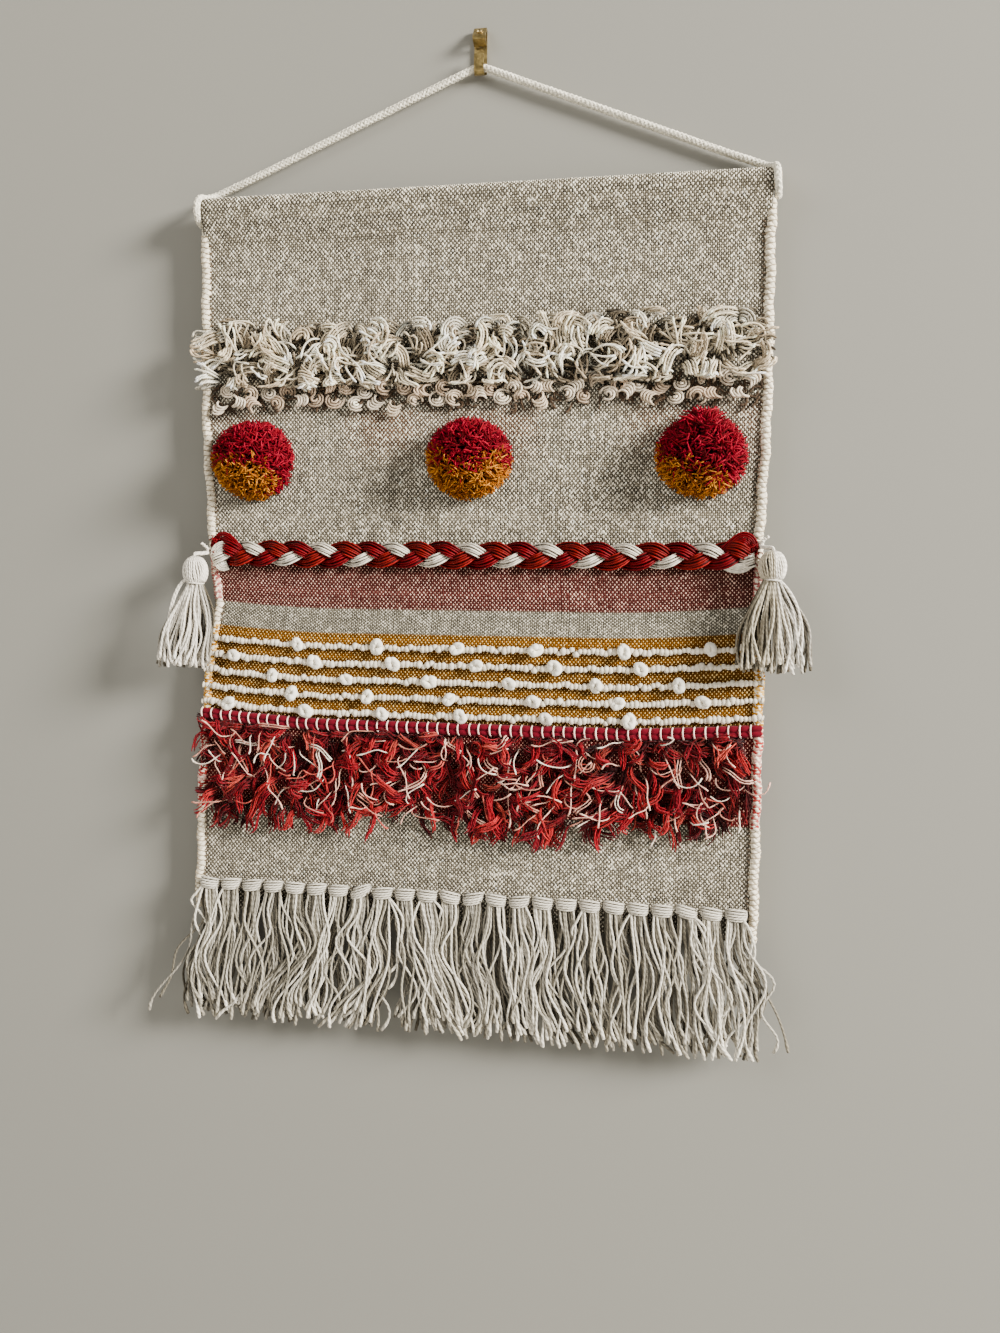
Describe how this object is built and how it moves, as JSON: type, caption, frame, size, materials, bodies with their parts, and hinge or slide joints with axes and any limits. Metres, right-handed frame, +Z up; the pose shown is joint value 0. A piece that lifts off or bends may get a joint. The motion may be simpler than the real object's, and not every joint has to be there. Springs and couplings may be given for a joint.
{
  "type": "tapestry wall hanging",
  "caption": "Woven wall hanging on a dowel and cord, with pile bands, pom-poms, a plait, bobbles, tassels and a knotted fringe.",
  "frame": {"origin": "flat back of the picture hook, level with the middle of the cord that hangs on it", "axes": "+X to the viewer's right along the cloth, +Y into the wall, +Z up"},
  "size_m": [0.4757, 0.058, 0.717],
  "materials": {
    "brass": "aged, rubbed bright on the edges",
    "nail_steel": "brassed nail",
    "hanger_cotton": "plaited cotton cord",
    "dowel": "plain sanded beech",
    "natural_weave": "mottled undyed cotton and linen",
    "edge_cotton": "whipped white cotton rope",
    "cream_yarn": "cut wool yarn",
    "loop_yarn": "looped wool yarn",
    "white_roving": "thick unspun roving",
    "red_roving": "thick roving under white warps",
    "red_yarn": "cut wool yarn",
    "pompom_yarn": "dense cut yarn, crimson and mustard",
    "tie_thread": "waxed thread",
    "braid_red": "stranded yarn",
    "braid_rust": "stranded yarn",
    "braid_white": "stranded yarn",
    "tassel_yarn": "fine cotton yarn",
    "fringe_yarn": "soft spun yarn"
  },
  "bodies": {
    "hook": {"picture_hook": "brass", "hook_nail": "nail_steel"},
    "hanger": {"hanger_cord": "hanger_cotton"},
    "panel": {"top_rod": "dowel", "woven_panel": "natural_weave", "side_cord_left": "edge_cotton", "side_cord_right": "edge_cotton", "cream_shag": "cream_yarn", "cream_loop_row": "loop_yarn", "red_roving_row": "red_roving", "red_shag": "red_yarn", "braid_strand_red": "braid_red", "braid_strand_rust": "braid_rust", "braid_strand_white": "braid_white", "roving_row_1": "white_roving", "roving_row_2": "white_roving", "roving_row_3": "white_roving", "roving_row_4": "white_roving", "roving_row_5": "white_roving", "pompom_tie_left": "tie_thread", "pompom_tie_middle": "tie_thread", "pompom_tie_right": "tie_thread"},
    "pompom_left_body": {"pompom_left": "pompom_yarn"},
    "pompom_middle_body": {"pompom_middle": "pompom_yarn"},
    "pompom_right_body": {"pompom_right": "pompom_yarn"},
    "tassel_left_tie": {"tassel_tie_left": "tassel_yarn"},
    "tassel_left": {"tassel_head_left": "tassel_yarn", "tassel_wrap_left": "tassel_yarn", "tassel_skirt_left": "tassel_yarn"},
    "tassel_right_tie": {"tassel_tie_right": "tassel_yarn"},
    "tassel_right": {"tassel_head_right": "tassel_yarn", "tassel_wrap_right": "tassel_yarn", "tassel_skirt_right": "tassel_yarn"},
    "fringe_01": {"fringe_bundle_01": "fringe_yarn"},
    "fringe_02": {"fringe_bundle_02": "fringe_yarn"},
    "fringe_03": {"fringe_bundle_03": "fringe_yarn"},
    "fringe_04": {"fringe_bundle_04": "fringe_yarn"},
    "fringe_05": {"fringe_bundle_05": "fringe_yarn"},
    "fringe_06": {"fringe_bundle_06": "fringe_yarn"},
    "fringe_07": {"fringe_bundle_07": "fringe_yarn"},
    "fringe_08": {"fringe_bundle_08": "fringe_yarn"},
    "fringe_09": {"fringe_bundle_09": "fringe_yarn"},
    "fringe_10": {"fringe_bundle_10": "fringe_yarn"},
    "fringe_11": {"fringe_bundle_11": "fringe_yarn"},
    "fringe_12": {"fringe_bundle_12": "fringe_yarn"},
    "fringe_13": {"fringe_bundle_13": "fringe_yarn"},
    "fringe_14": {"fringe_bundle_14": "fringe_yarn"},
    "fringe_15": {"fringe_bundle_15": "fringe_yarn"},
    "fringe_16": {"fringe_bundle_16": "fringe_yarn"},
    "fringe_17": {"fringe_bundle_17": "fringe_yarn"},
    "fringe_18": {"fringe_bundle_18": "fringe_yarn"},
    "fringe_19": {"fringe_bundle_19": "fringe_yarn"},
    "fringe_20": {"fringe_bundle_20": "fringe_yarn"},
    "fringe_21": {"fringe_bundle_21": "fringe_yarn"},
    "fringe_22": {"fringe_bundle_22": "fringe_yarn"},
    "fringe_23": {"fringe_bundle_23": "fringe_yarn"},
    "fringe_24": {"fringe_bundle_24": "fringe_yarn"}
  },
  "joints": [
    {"name": "hanger_swing", "type": "hinge", "parent": "hook", "child": "hanger", "pos_m": [0, -0.0041, 0], "axis": [0, 1, 0], "range_deg": [-8, 8]},
    {"name": "panel_lift", "type": "hinge", "parent": "hanger", "child": "panel", "pos_m": [0, -0.013, -0.092], "axis": [-1, 0, 0], "range_deg": [0, 75]},
    {"name": "pompom_left_twist", "type": "hinge", "parent": "panel", "child": "pompom_left_body", "pos_m": [-0.1595, -0.0271, -0.2738], "axis": [0, 1, 0], "range_deg": [-40, 40]},
    {"name": "pompom_middle_twist", "type": "hinge", "parent": "panel", "child": "pompom_middle_body", "pos_m": [0, -0.0271, -0.2738], "axis": [0, 1, 0], "range_deg": [-40, 40]},
    {"name": "pompom_right_twist", "type": "hinge", "parent": "panel", "child": "pompom_right_body", "pos_m": [0.1595, -0.0271, -0.2738], "axis": [0, 1, 0], "range_deg": [-40, 40]},
    {"name": "tassel_left_swing", "type": "hinge", "parent": "panel", "child": "tassel_left_tie", "pos_m": [-0.19696, -0.0181, -0.3393], "axis": [0, 1, 0], "range_deg": [0, 30]},
    {"name": "tassel_left_tilt", "type": "hinge", "parent": "tassel_left_tie", "child": "tassel_left", "pos_m": [-0.20666, -0.0265, -0.3473], "axis": [-1, 0, 0], "range_deg": [0, 60]},
    {"name": "tassel_right_swing", "type": "hinge", "parent": "panel", "child": "tassel_right_tie", "pos_m": [0.1998, -0.0181, -0.3333], "axis": [0, 1, 0], "range_deg": [-30, 0]},
    {"name": "tassel_right_tilt", "type": "hinge", "parent": "tassel_right_tie", "child": "tassel_right", "pos_m": [0.2095, -0.0265, -0.3413], "axis": [-1, 0, 0], "range_deg": [0, 60]},
    {"name": "fringe_01_swing", "type": "hinge", "parent": "panel", "child": "fringe_01", "pos_m": [-0.19849, -0.0195, -0.5898], "axis": [-1, 0, 0], "range_deg": [0, 65]},
    {"name": "fringe_02_swing", "type": "hinge", "parent": "panel", "child": "fringe_02", "pos_m": [-0.18154, -0.0195, -0.5898], "axis": [-1, 0, 0], "range_deg": [0, 65]},
    {"name": "fringe_03_swing", "type": "hinge", "parent": "panel", "child": "fringe_03", "pos_m": [-0.16458, -0.0195, -0.5898], "axis": [-1, 0, 0], "range_deg": [0, 65]},
    {"name": "fringe_04_swing", "type": "hinge", "parent": "panel", "child": "fringe_04", "pos_m": [-0.14762, -0.0195, -0.5898], "axis": [-1, 0, 0], "range_deg": [0, 65]},
    {"name": "fringe_05_swing", "type": "hinge", "parent": "panel", "child": "fringe_05", "pos_m": [-0.13067, -0.0195, -0.5898], "axis": [-1, 0, 0], "range_deg": [0, 65]},
    {"name": "fringe_06_swing", "type": "hinge", "parent": "panel", "child": "fringe_06", "pos_m": [-0.11371, -0.0195, -0.5898], "axis": [-1, 0, 0], "range_deg": [0, 65]},
    {"name": "fringe_07_swing", "type": "hinge", "parent": "panel", "child": "fringe_07", "pos_m": [-0.09675, -0.0195, -0.5898], "axis": [-1, 0, 0], "range_deg": [0, 65]},
    {"name": "fringe_08_swing", "type": "hinge", "parent": "panel", "child": "fringe_08", "pos_m": [-0.0798, -0.0195, -0.5898], "axis": [-1, 0, 0], "range_deg": [0, 65]},
    {"name": "fringe_09_swing", "type": "hinge", "parent": "panel", "child": "fringe_09", "pos_m": [-0.06284, -0.0195, -0.5898], "axis": [-1, 0, 0], "range_deg": [0, 65]},
    {"name": "fringe_10_swing", "type": "hinge", "parent": "panel", "child": "fringe_10", "pos_m": [-0.04589, -0.0195, -0.5898], "axis": [-1, 0, 0], "range_deg": [0, 65]},
    {"name": "fringe_11_swing", "type": "hinge", "parent": "panel", "child": "fringe_11", "pos_m": [-0.02893, -0.0195, -0.5898], "axis": [-1, 0, 0], "range_deg": [0, 65]},
    {"name": "fringe_12_swing", "type": "hinge", "parent": "panel", "child": "fringe_12", "pos_m": [-0.01197, -0.0195, -0.5898], "axis": [-1, 0, 0], "range_deg": [0, 65]},
    {"name": "fringe_13_swing", "type": "hinge", "parent": "panel", "child": "fringe_13", "pos_m": [0.00498, -0.0195, -0.5898], "axis": [-1, 0, 0], "range_deg": [0, 65]},
    {"name": "fringe_14_swing", "type": "hinge", "parent": "panel", "child": "fringe_14", "pos_m": [0.02194, -0.0195, -0.5898], "axis": [-1, 0, 0], "range_deg": [0, 65]},
    {"name": "fringe_15_swing", "type": "hinge", "parent": "panel", "child": "fringe_15", "pos_m": [0.03889, -0.0195, -0.5898], "axis": [-1, 0, 0], "range_deg": [0, 65]},
    {"name": "fringe_16_swing", "type": "hinge", "parent": "panel", "child": "fringe_16", "pos_m": [0.05585, -0.0195, -0.5898], "axis": [-1, 0, 0], "range_deg": [0, 65]},
    {"name": "fringe_17_swing", "type": "hinge", "parent": "panel", "child": "fringe_17", "pos_m": [0.07281, -0.0195, -0.5898], "axis": [-1, 0, 0], "range_deg": [0, 65]},
    {"name": "fringe_18_swing", "type": "hinge", "parent": "panel", "child": "fringe_18", "pos_m": [0.08976, -0.0195, -0.5898], "axis": [-1, 0, 0], "range_deg": [0, 65]},
    {"name": "fringe_19_swing", "type": "hinge", "parent": "panel", "child": "fringe_19", "pos_m": [0.10672, -0.0195, -0.5898], "axis": [-1, 0, 0], "range_deg": [0, 65]},
    {"name": "fringe_20_swing", "type": "hinge", "parent": "panel", "child": "fringe_20", "pos_m": [0.12367, -0.0195, -0.5898], "axis": [-1, 0, 0], "range_deg": [0, 65]},
    {"name": "fringe_21_swing", "type": "hinge", "parent": "panel", "child": "fringe_21", "pos_m": [0.14063, -0.0195, -0.5898], "axis": [-1, 0, 0], "range_deg": [0, 65]},
    {"name": "fringe_22_swing", "type": "hinge", "parent": "panel", "child": "fringe_22", "pos_m": [0.15759, -0.0195, -0.5898], "axis": [-1, 0, 0], "range_deg": [0, 65]},
    {"name": "fringe_23_swing", "type": "hinge", "parent": "panel", "child": "fringe_23", "pos_m": [0.17454, -0.0195, -0.5898], "axis": [-1, 0, 0], "range_deg": [0, 65]},
    {"name": "fringe_24_swing", "type": "hinge", "parent": "panel", "child": "fringe_24", "pos_m": [0.1915, -0.0195, -0.5898], "axis": [-1, 0, 0], "range_deg": [0, 65]}
  ]
}
